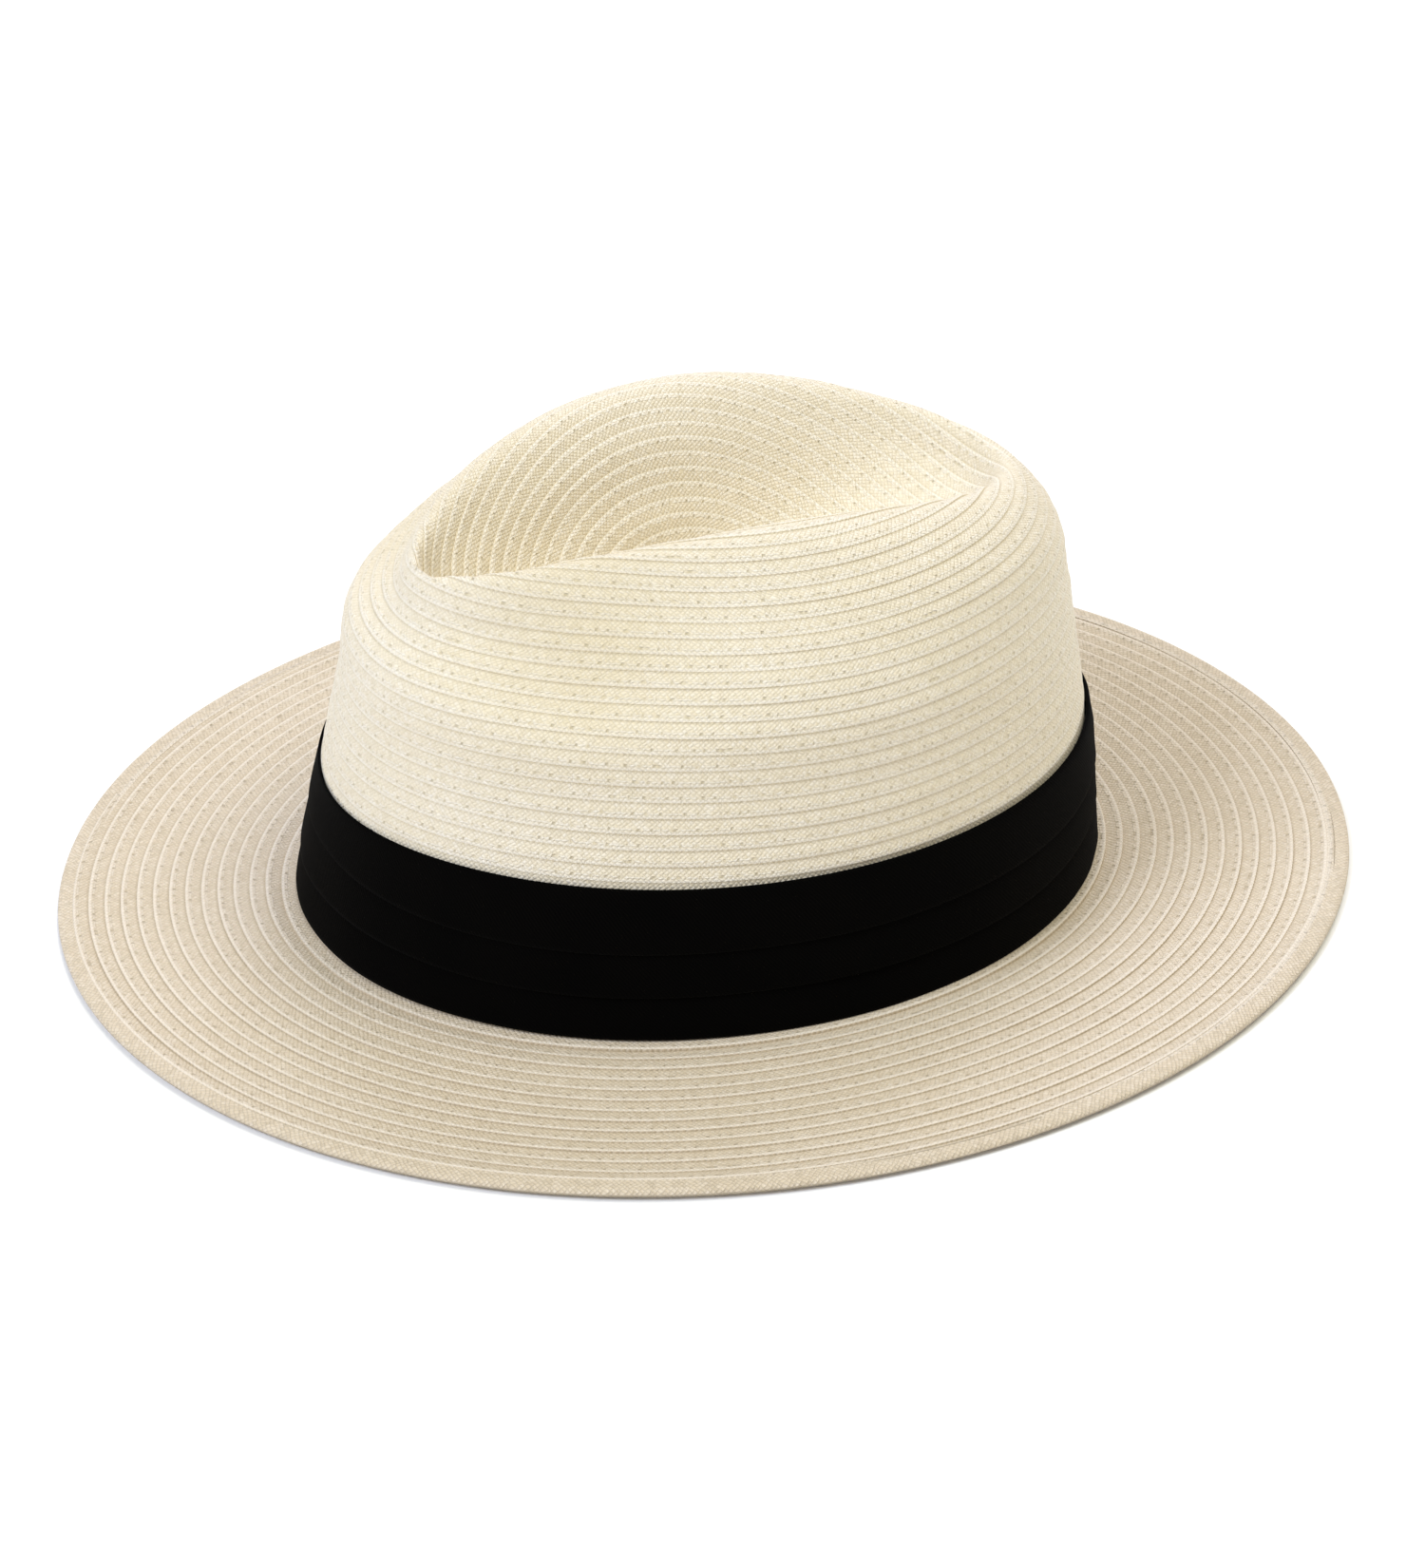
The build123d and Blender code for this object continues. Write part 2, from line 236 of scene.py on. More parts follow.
def from_crown(points):
    """Points of the crown's own plane, placed in the hat's frame in metres."""
    x, y, z = np.moveaxis(np.asarray(points, float), -1, 0)
    back = y * math.cos(LEAN) + z * math.sin(LEAN) + HEAD_CENTRE
    up = z * math.cos(LEAN) - y * math.sin(LEAN) + HEADLINE_HEIGHT
    return np.stack([x, back, up], -1) * MM


# ======================================================================================
# Meshes
# ======================================================================================
def make_piece(name, points, faces, loop_uv=None, smooth_angle=40):
    """New object from arrays; faces is an array of quads, loop_uv gives each corner its place."""
    mesh = bpy.data.meshes.new(name)
    mesh.vertices.add(len(points))
    mesh.vertices.foreach_set("co", np.asarray(points, np.float32).ravel())
    faces = np.asarray(faces, np.int32)
    mesh.loops.add(faces.size)
    mesh.loops.foreach_set("vertex_index", faces.ravel())
    mesh.polygons.add(len(faces))
    mesh.polygons.foreach_set("loop_start", np.arange(len(faces), dtype=np.int32) * faces.shape[1])
    mesh.polygons.foreach_set("loop_total", np.full(len(faces), faces.shape[1], np.int32))
    if loop_uv is not None:
        layer = mesh.uv_layers.new(name="braid")
        layer.data.foreach_set("uv", np.asarray(loop_uv, np.float32).ravel())
    mesh.update(calc_edges=True)
    mesh.validate()
    mesh.polygons.foreach_set("use_smooth", np.ones(len(mesh.polygons), bool))
    if smooth_angle:
        mesh.set_sharp_from_angle(angle=math.radians(smooth_angle))
    piece = bpy.data.objects.new(name, mesh)
    bpy.context.scene.collection.objects.link(piece)
    return piece


def merge_close(piece):
    """Join points that lie on each other, so the mesh is one closed surface."""
    work = bmesh.new()
    work.from_mesh(piece.data)
    bmesh.ops.remove_doubles(work, verts=work.verts, dist=3e-6)
    bmesh.ops.dissolve_degenerate(work, dist=1e-7, edges=work.edges)
    work.to_mesh(piece.data)
    work.free()


def tube_round(name, points, uv_scale=(1.0, 1.0), closed=True, smooth_angle=40):
    """Piece from a grid [section point, angle, xyz] whose section is a closed outline.
    closed joins the last angle to the first; otherwise the two ends are capped."""
    section, count = points.shape[:2]
    rows = np.arange(section)[:, None]
    columns = np.arange(count if closed else count - 1)[None, :]
    next_row, next_column = (rows + 1) % section, (columns + 1) % count
    quads = np.stack([rows * count + columns, rows * count + next_column,
                      next_row * count + next_column, next_row * count + columns], -1).reshape(-1, 4)
    step = np.linalg.norm(np.diff(np.concatenate([points, points[:, :1]], 1), axis=1), axis=2)
    length = np.concatenate([np.zeros((section, 1)), np.cumsum(step, 1)], 1).mean(0)
    girth = np.linalg.norm(np.diff(np.concatenate([points, points[:1]], 0), axis=0), axis=2).mean(1)
    around = np.concatenate([[0], np.cumsum(girth)])
    u0, u1 = length[columns[0]], length[columns[0] + 1]
    v0, v1 = around[:-1][:, None], around[1:][:, None]
    corners = ((u0, v0), (u1, v0), (u1, v1), (u0, v1))
    uv = np.stack([np.stack(np.broadcast_arrays(u, v), -1) for u, v in corners], 2)
    uv = uv.reshape(-1, 2) * np.array(uv_scale)
    piece = make_piece(name, points.reshape(-1, 3), quads, uv, smooth_angle)
    if not closed:
        cap_ends(piece)
    return piece


def cap_ends(piece):
    """Close the two open ends of a strip."""
    work = bmesh.new()
    work.from_mesh(piece.data)
    edges = [edge for edge in work.edges if edge.is_boundary]
    bmesh.ops.holes_fill(work, edges=edges, sides=0)
    work.to_mesh(piece.data)
    work.free()


class Braid:
    """Grid of a sewn braid skin. Rows climb in one spiral: place 0 is the outer edge, 1 the inner end."""

    def __init__(self, skin, normals, rows, across, count):
        self.rows, self.count, self.step = rows, count, len(across)
        self.theta = full_turn(count)
        lengths = np.linalg.norm(np.diff(skin, axis=0), axis=2)
        arc = np.concatenate([np.zeros((1, count)), np.cumsum(lengths, 0)])
        arc = arc / arc[-1]
        whole = np.arange(-1, math.ceil(rows) + 1)
        self.share = np.tile(across, len(whole))
        self.row_place = (whole[:, None] + np.asarray(across)[None, :]).ravel()
        turns = self.theta / TURN
        self.place = np.clip((self.row_place[:, None] + turns[None, :]) / rows, 0, 1)
        shape = self.place.shape + (3,)
        self.points, self.out = np.empty(shape), np.empty(shape)
        for column in range(count):
            spots = self.place[:, column]
            for axis in range(3):
                self.points[:, column, axis] = np.interp(spots, arc[:, column], skin[:, column, axis])
                self.out[:, column, axis] = np.interp(spots, arc[:, column], normals[:, column, axis])

    def lifted(self, height):
        """Grid moved out along its normals by a height for each point, in millimetres."""
        return self.points + self.out * height[..., None]

    def quads(self, offset=0, flip=False):
        """Faces and the braid place of each corner: millimetres along the row, and the row number."""
        rings = len(self.row_place)
        k, j = np.meshgrid(np.arange(rings - 1), np.arange(self.count), indexing="ij")
        k, j = k.ravel(), j.ravel()

        def index(ring, column):
            wrapped = column == self.count
            ring = np.where(wrapped, np.minimum(ring + self.step, rings - 1), ring)
            return ring * self.count + np.where(wrapped, 0, column)

        corners = [(k, j), (k, j + 1), (k + 1, j + 1), (k + 1, j)]
        ids = np.stack([index(*corner) for corner in corners], -1)
        flat = self.place.ravel()
        live = (flat[ids].max(1) > flat[ids].min(1) + 1e-9)
        live &= ~((flat[ids] <= 0).sum(1) >= 3) & ~((flat[ids] >= 1).sum(1) >= 3)
        ahead = np.minimum(np.arange(rings) + self.step, rings - 1)
        following = np.concatenate([self.points[:, 1:], self.points[ahead, :1]], axis=1)
        around = np.linalg.norm(following - self.points, axis=2)
        lengths = np.concatenate([np.zeros((rings, 1)), np.cumsum(around, 1)], 1)
        girth = np.maximum(lengths[:, -1], 1e-6)
        starts = np.concatenate([[0], np.cumsum(girth[::self.step])])
        row = k // self.step
        uv = np.stack([np.stack([starts[row] + lengths[ring, column] * girth[row * self.step] / girth[ring],
                                 self.row_place[ring]], -1) for ring, column in corners], 1)
        ids, uv = ids[live], uv[live]
        if flip:
            ids, uv = ids[:, ::-1], uv[:, ::-1]
        return ids + offset, uv


def strip_phase(braid):
    """Angle along the whole spiral strip for each point, so what varies along it has no seam."""
    row = np.floor(braid.row_place + 1e-6)
    return TURN * row[:, None] + braid.theta[None, :]


def lap_heights(braid, shape, opening=0.0):
    """Relief of the lapped rows in millimetres, uneven along the strip and level at both ends.
    shape is the height at each knot across a row, and at its upper end, where the next row covers it."""
    profile = np.interp(braid.share, LAP_KNOTS + (1.0,), shape)
    phase = strip_phase(braid)
    uneven = 1 + 0.22 * np.sin(phase * 1.37) + 0.16 * np.sin(phase * 4.11 + 1.0) + 0.10 * np.sin(phase * 9.3)
    place = braid.place * braid.rows
    ends = np.clip(place / 0.3, 0, 1) * np.clip((braid.rows - place) / 0.9, 0, 1)
    return profile[:, None] * (uneven + opening) * ends


def closed_skin(name, outside, inside, outer_points, inner_points, open_centre=False):
    """One closed piece from the two faces of a braid skin, joined by a rim at the outer edge,
    and by another round the inner end where the centre is open."""
    outer_quads, outer_uv = outside.quads()
    start = outer_points.shape[0] * outer_points.shape[1]
    inner_quads, inner_uv = inside.quads(offset=start, flip=True)
    column = np.arange(outside.count)
    after = (column + 1) % outside.count
    rims = [np.stack([after, column, start + column, start + after], -1)]
    if open_centre:
        last_out = (len(outer_points) - 1) * outside.count
        last_in = start + (len(inner_points) - 1) * outside.count
        rims.append(np.stack([last_out + column, last_out + after, last_in + after, last_in + column], -1))
    rims = np.concatenate(rims)
    points = np.concatenate([outer_points.reshape(-1, 3), inner_points.reshape(-1, 3)])
    quads = np.concatenate([outer_quads, inner_quads, rims])
    uv = np.concatenate([outer_uv, inner_uv, np.zeros((len(rims), 4, 2))])
    piece = make_piece(name, points, quads, uv.reshape(-1, 2))
    merge_close(piece)
    return piece


# ======================================================================================
# Straw
# ======================================================================================
def make_crown():
    """Creased crown of lapped braid rows: each row lies over the one below it."""
    theta = full_turn(CROWN_COLUMNS)
    skin = smooth_skin(crown_rings(theta), SPAN_STEPS)
    normals = skin_normals(skin)
    facing, height = from_front(theta), skin[..., 2]
    wander = 0.35 * waves(theta, 5, 3, low=2)[None, :] * np.clip((height - BAND_HEIGHT) / 30, 0, 1)
    # the dents that fingers leave below the front of the ridge, deeper on the wearer's left
    dent = bell(np.abs(facing), math.radians(43), 0.34) * (2.6 + 1.6 * np.tanh(4 * facing))
    outer_wall = np.clip(5 - np.arange(len(skin)) / SPAN_STEPS, 0, 1)
    dent = dent[None, :] * bell(height, 83, 10) * outer_wall[:, None]
    skin = skin + normals * (wander - dent - 0.12)[..., None]
    outside = Braid(skin, normals, CROWN_ROWS, LAP_KNOTS, CROWN_COLUMNS)
    inside = Braid(skin - normals * STRAW, normals, CROWN_ROWS, (0, 0.5, 0.95), CROWN_COLUMNS)
    # the rows open up where they turn over the ridge, behind the wearer's left side
    turning = bell(theta, math.radians(137), math.radians(15))
    gaping = 2.6 * turning[None, :] * bell(outside.place, 0.665, 0.045)
    outer = outside.lifted(lap_heights(outside, (0, 0.24, 0.36, 0.26, 0.06, 0), gaping))
    inner = inside.lifted(lap_heights(inside, (0, 0.02, 0.05, 0.16, 0.30, 0)))
    return closed_skin("crown_braid", outside, inside, from_crown(outer), from_crown(inner))


def make_brim():
    """Level brim of lapped braid rows, with the backs of the rows underneath."""
    theta = full_turn(BRIM_COLUMNS)
    shares = np.linspace(0, 1, 60)[:, None]
    reach = (brim_width(theta) - BRIM_TUCK)[None, :] * (1 - shares) - STRAW * shares
    inset = brim_width(theta)[None, :] - reach
    # the brim dips beside the band, less at the back, and rises to meet the folded edge
    relief = -0.8 * bell(reach, 4.5, 3.2) * (0.65 + 0.35 * np.cos(theta))
    relief = relief + 0.72 * bell(inset, BRIM_TUCK, 3.4)
    ripple = 0.25 * waves(theta, 6, 8, low=2)[None, :] * np.sin(shares * math.pi)
    top = np.stack([brim_point(theta, *row) for row in zip(reach, relief + ripple)])
    normals = np.broadcast_to((0.0, 0.0, 1.0), top.shape)
    outside = Braid(top, normals, BRIM_ROWS, LAP_KNOTS, BRIM_COLUMNS)
    inside = Braid(top - normals * STRAW, normals, BRIM_ROWS, (0, 0.4, 0.95), BRIM_COLUMNS)
    gaping = 0.9 * bell(outside.place, 0.92, 0.07)
    outer = outside.lifted(lap_heights(outside, (0, 0.30, 0.38, 0.20, 0.03, 0), gaping))
    inner = inside.lifted(lap_heights(inside, (0, 0.04, 0.08, 0.15, 0.26, 0)))
    return closed_skin("brim_braid", outside, inside, outer * MM, inner * MM, open_centre=True)


def make_edge_row():
    """The last braid row, folded round the brim's edge over the wire."""
    theta = full_turn(EDGE_COLUMNS)
    thick = EDGE_THICKNESS
    rim_points = 16            # of the outline, from the top's inner edge round to the underside
    # (distance in from the brim's edge, height), round the outside and back through the fold
    outline = (
        (EDGE_ROW, 2.15), (EDGE_ROW - 0.06, thick + 0.02), (EDGE_ROW - 0.6, thick + 0.12),
        (4.2, thick + 0.10), (2.9, thick + 0.06), (1.5, thick - 0.02), (0.6, thick - 0.26),
        (0.12, thick - 0.66), (0.0, thick - 1.05), (0.22, 1.0), (0.75, 0.48), (1.7, 0.12), (3.2, 0.0),
        (EDGE_ROW - 0.5, 0.0), (EDGE_ROW - 0.1, 0.06), (EDGE_ROW, 0.42), (EDGE_ROW - 0.2, 0.52), (2.2, 0.56),
        (1.0, 0.84), (0.75, thick / 2), (0.85, 1.75), (2.2, 2.06), (EDGE_ROW - 0.4, 2.08),
    )
    grid = []
    for number, (inset, height) in enumerate(outline):
        wander = 0.10 * waves(theta, 7, 21, low=3) * (1 if inset > 3 else 0.4)
        spot = brim_point(theta, brim_width(theta) - inset - wander)
        lift = 0.05 * waves(theta, 8, 22, low=4) if height > 1.3 and number < rim_points else 0.0
        spot[:, 2] = height + lift
        grid.append(spot * MM)
    return tube_round("brim_edge_braid", np.array(grid), uv_scale=(1.0 / MM, 1.0 / MM / EDGE_GIRTH))


# ======================================================================================
# Band
# ======================================================================================
def thicken(path, thickness):
    """Closed outline of a cloth section from its middle line of (height, out) points."""
    path = np.asarray(path, float)
    run = np.gradient(path, axis=0)
    side = np.stack([-run[:, 1], run[:, 0]], -1)
    side /= np.linalg.norm(side, axis=1)[:, None]
    return np.concatenate([path + side * thickness / 2, (path - side * thickness / 2)[::-1]])


def pleat_path(upper, lower, top):
    """Middle line of the pleated cloth, from its upper hem over three pleats to its lower hem."""
    foot = 0.15
    upper_hem = ((30.0, 0.72), (33.5, 0.74), (top - 0.4, 0.80), (top, 1.08), (top - 0.5, 1.48))
    upper_pleat = (
        (top - 2.4, 1.80), (top - 5.5, 2.02), (upper + 4.0, 2.20), (upper + 1.4, 2.26), (upper + 0.3, 2.16),
        (upper, 1.94), (upper + 0.6, 1.70), (upper + 2.4, 1.56), (upper + 3.4, 1.40), (upper + 2.4, 1.24),
    )
    middle_pleat = (
        (upper, 1.36), (upper - 1.6, 1.58), (upper - 4.5, 1.82), (lower + 3.2, 1.98), (lower + 1.2, 2.02),
        (lower + 0.3, 1.90), (lower, 1.66), (lower + 0.6, 1.44), (lower + 2.2, 1.30), (lower + 3.2, 1.14),
        (lower + 2.2, 0.98),
    )
    lower_pleat = ((lower, 1.08), (lower - 1.6, 1.34), (lower - 4.6, 1.66), (3.2, 1.80), (1.3, 1.76))
    lower_hem = ((foot + 0.1, 1.50), (foot, 1.18), (foot + 0.5, 0.88), (3.0, 0.76), (7.0, 0.74))
    return upper_hem + upper_pleat + middle_pleat + lower_pleat + lower_hem


def make_hatband():
    """Black cloth in three pleats whose folds hang downwards, and run together towards the join."""
    theta = full_turn(BAND_COLUMNS)
    from_join = np.abs(theta - math.pi)
    gather = np.clip(1 - (from_join - 0.10) / 0.95, 0, 1) ** 1.6
    upper = 22.3 + 0.45 * waves(theta, 4, 31) + 3.2 * gather
    lower = 11.0 + 0.45 * waves(theta, 5, 32) + 5.4 * gather
    sag = 0.10 * waves(theta, 12, 33, low=6)
    # the top edge dips and lies closer to the straw at the front, on the wearer's right
    dip = bell(from_front(theta), -0.38, 0.62)
    top = BAND_HEIGHT + 0.2 - 4.0 * dip
    sections = [thicken(pleat_path(*places), CLOTH) for places in zip(upper, lower, top)]
    grid = np.array(sections).transpose(1, 0, 2)
    height = grid[..., 0]
    near = 0.7                 # the innermost layer stays at this distance from the straw
    snug = 1 - 0.60 * dip[None, :] * np.clip((height - 12) / 20, 0, 1)
    out = near + (grid[..., 1] - near) * snug
    crease = gather[None, :] * 0.28 * np.sin(height * 0.55 + theta[None, :] * 34)
    puff = (sag[None, :] + crease) * np.clip((out - 1.2) / 0.8, 0, 1)
    points = from_crown(wall_point(theta[None, :], height, out + puff))
    return tube_round("hatband_pleats", points, uv_scale=(1 / MM, 1 / MM), smooth_angle=0)


def make_keeper():
    """Short upright tab of the band's cloth that covers its join at the back."""
    half_angle = math.asin(10.0 / (HEAD_HALF_WIDTH + 1.8))
    across = np.linspace(-1, 1, 33)
    theta = math.pi + half_angle * across
    near = 2.4                 # it starts at this distance from the straw, over the band
    outline = thicken(((0.35, 2.55), (0.1, 2.80), (0.5, 3.04), (6, 3.18), (13, 3.24), (19, 3.26), (26, 3.24),
                       (33, 3.16), (37.6, 3.02), (38.3, 2.8), (38.0, 2.5)), 0.36)
    side = np.clip(1 - np.abs(across) ** 8, 0.15, 1)
    tucks = 0.20 * np.cos(across * math.pi * 3.5) * side
    height = np.broadcast_to(outline[:, :1], (len(outline), len(theta)))
    depth = outline[:, 1:] - near
    out = near + depth * side[None, :] + tucks[None, :] * np.clip(depth - 0.2, 0, 0.5) * 2
    points = from_crown(wall_point(theta[None, :], height, out))
    return tube_round("hatband_join_tab", points, (1 / MM, 1 / MM), closed=False, smooth_angle=0)


# ======================================================================================
# Strips and stitches that follow the wall
# ======================================================================================
def wall_strip(name, outline, start, end, count, ripple=0.0, seed=1, round_ends=0.0):
    """Strip along the wall from a closed outline of (height, out) points; angles in degrees."""
    degrees = np.linspace(start, end, count)
    theta = np.radians(degrees)
    outline = np.asarray(outline, float)
    middle = outline.mean(0)
    swell = np.ones(count)
    if round_ends:
        reach = np.clip(np.minimum(degrees - start, end - degrees) / round_ends, 0, 1)
        swell = np.sqrt(np.clip(1 - (1 - reach) ** 2, 0.2, 1))
    height = middle[0] + (outline[:, :1] - middle[0]) * swell[None, :]
    wave = ripple * waves(theta, 9, seed, low=5)[None, :] * np.clip((height - middle[0]) / 14, -0.2, 1)
    out = outline[:, 1:] + wave
    points = from_crown(wall_point(theta[None, :], height, out))
    return tube_round(name, points, (1 / MM, 1 / MM), closed=False, smooth_angle=50)


def rounded_bar(low, high, near, far):
    """Closed outline of a flat strip with soft edges: heights low to high, distances out near to far."""
    soft, steps = (far - near) / 2, 14
    outer = [(height, far) for height in np.linspace(low + soft, high - soft, steps)]
    inner = [(height, near) for height in np.linspace(high - soft, low + soft, steps)]
    top = [(high - soft * 0.3, far - soft * 0.4), (high, near + soft), (high - soft * 0.3, near + soft * 0.4)]
    foot = [(low + soft * 0.3, near + soft * 0.4), (low, near + soft), (low + soft * 0.3, far - soft * 0.4)]
    return outer + top + inner + foot


def make_stitches(name, spots, length, thick, upright=False):
    """Thread stitches, each a bead that dives into the cloth at both ends. spots are (angle, height, out)."""
    sides = 6
    ring = full_turn(sides)
    along = np.array((-1.0, -0.8, -0.35, 0.35, 0.8, 1.0))[:, None]
    girth = np.array((0.15, 0.65, 1.0, 1.0, 0.65, 0.15))[:, None]
    run, side = along * length / 2, np.sin(ring) * girth * thick / 2
    rise = np.cos(ring) * girth * thick / 2 - 0.22 * (1 - girth)
    k, j = [grid.ravel() for grid in np.meshgrid(np.arange(len(along) - 1), np.arange(sides), indexing="ij")]
    other = (j + 1) % sides
    template = np.stack([k * sides + j, k * sides + other, (k + 1) * sides + other, (k + 1) * sides + j], -1)
    points, quads = [], []
    for number, (angle, height, out) in enumerate(spots):
        turn, lift = (side, run) if upright else (run, side)
        points.append(wall_point(angle + turn / STITCH_RADIUS, height + lift, out + rise).reshape(-1, 3))
        quads.append(template + len(along) * sides * number)
    piece = make_piece(name, from_crown(np.concatenate(points)), np.concatenate(quads), None, 0)
    cap_ends(piece)
    return piece


# ======================================================================================
# Materials
# ======================================================================================
class Shader:
    """Material whose nodes are added by short calls; a socket or a plain value goes in anywhere."""

    def __init__(self, name, **settings):
        self.material = bpy.data.materials.new(name)
        self.material.use_nodes = True
        self.tree = self.material.node_tree
        self.surface = self.tree.nodes["Principled BSDF"]
        for key, value in settings.items():
            self.surface.inputs[key.replace("_", " ").title().replace("Ior", "IOR")].default_value = value

    def node(self, kind, inputs=None, output=0, **settings):
        made = self.tree.nodes.new(kind)
        for key, value in settings.items():
            setattr(made, key, value)
        for key, value in (inputs or {}).items():
            self.put(made.inputs[key], value)
        return made.outputs[output]

    def put(self, socket, value):
        if isinstance(value, bpy.types.NodeSocket):
            self.tree.links.new(value, socket)
        else:
            socket.default_value = value

    def math(self, operation, *values):
        return self.node("ShaderNodeMath", dict(enumerate(values)), operation=operation)

    def fade(self, value, low, high):
        """0 below low, 1 above high, smooth between."""
        inputs = {"Value": value, "From Min": low, "From Max": high}
        return self.node("ShaderNodeMapRange", inputs, interpolation_type="SMOOTHSTEP")

    def blend(self, share, first, second):
        return self.node("ShaderNodeMix", {0: share, 2: first, 3: second}, data_type="FLOAT")

    def tint(self, share, first, second):
        return self.node("ShaderNodeMix", {0: share, 6: first, 7: second}, output=2, data_type="RGBA")

    def paint(self, colour, *layers):
        """Colour with layers over it, each a mask from 0 to 1, how strongly it covers, and its colour."""
        for mask, strength, over in layers:
            colour = self.tint(self.math("MULTIPLY", mask, strength), colour, over)
        return colour

    def vector(self, x, y):
        return self.node("ShaderNodeCombineXYZ", {0: x, 1: y})

    def noise(self, place, scale, detail=2.0, roughness=0.5):
        inputs = {"Vector": place, "Scale": scale, "Detail": detail, "Roughness": roughness}
        return self.node("ShaderNodeTexNoise", inputs)

    def strip_place(self):
        """Place on the strip: millimetres along it, and rows (braid) or millimetres (cloth) across it."""
        split = self.tree.nodes.new("ShaderNodeSeparateXYZ")
        self.put(split.inputs[0], self.node("ShaderNodeUVMap", uv_map="braid"))
        return split.outputs[0], split.outputs[1]

    def body_place(self):
        """Place on the object, in metres."""
        return self.node("ShaderNodeTexCoord", output=3)

    def hump(self, value):
        """Round hump over each whole number: 0 at its ends, 1 in the middle."""
        part = self.math("FRACT", value)
        return self.math("MULTIPLY", self.math("MULTIPLY", part, self.math("SUBTRACT", 1.0, part)), 4.0)

    def bump(self, height, distance, strength=1.0):
        inputs = {"Height": height, "Distance": distance, "Strength": strength}
        self.put(self.surface.inputs["Normal"], self.node("ShaderNodeBump", inputs))


def linear(red, green, blue):
    """Linear colour from 0-255 display values."""
    parts = [value / 255 for value in (red, green, blue)]
    return tuple(p / 12.92 if p <= 0.04045 else ((p + 0.055) / 1.055) ** 2.4 for p in parts) + (1.0,)


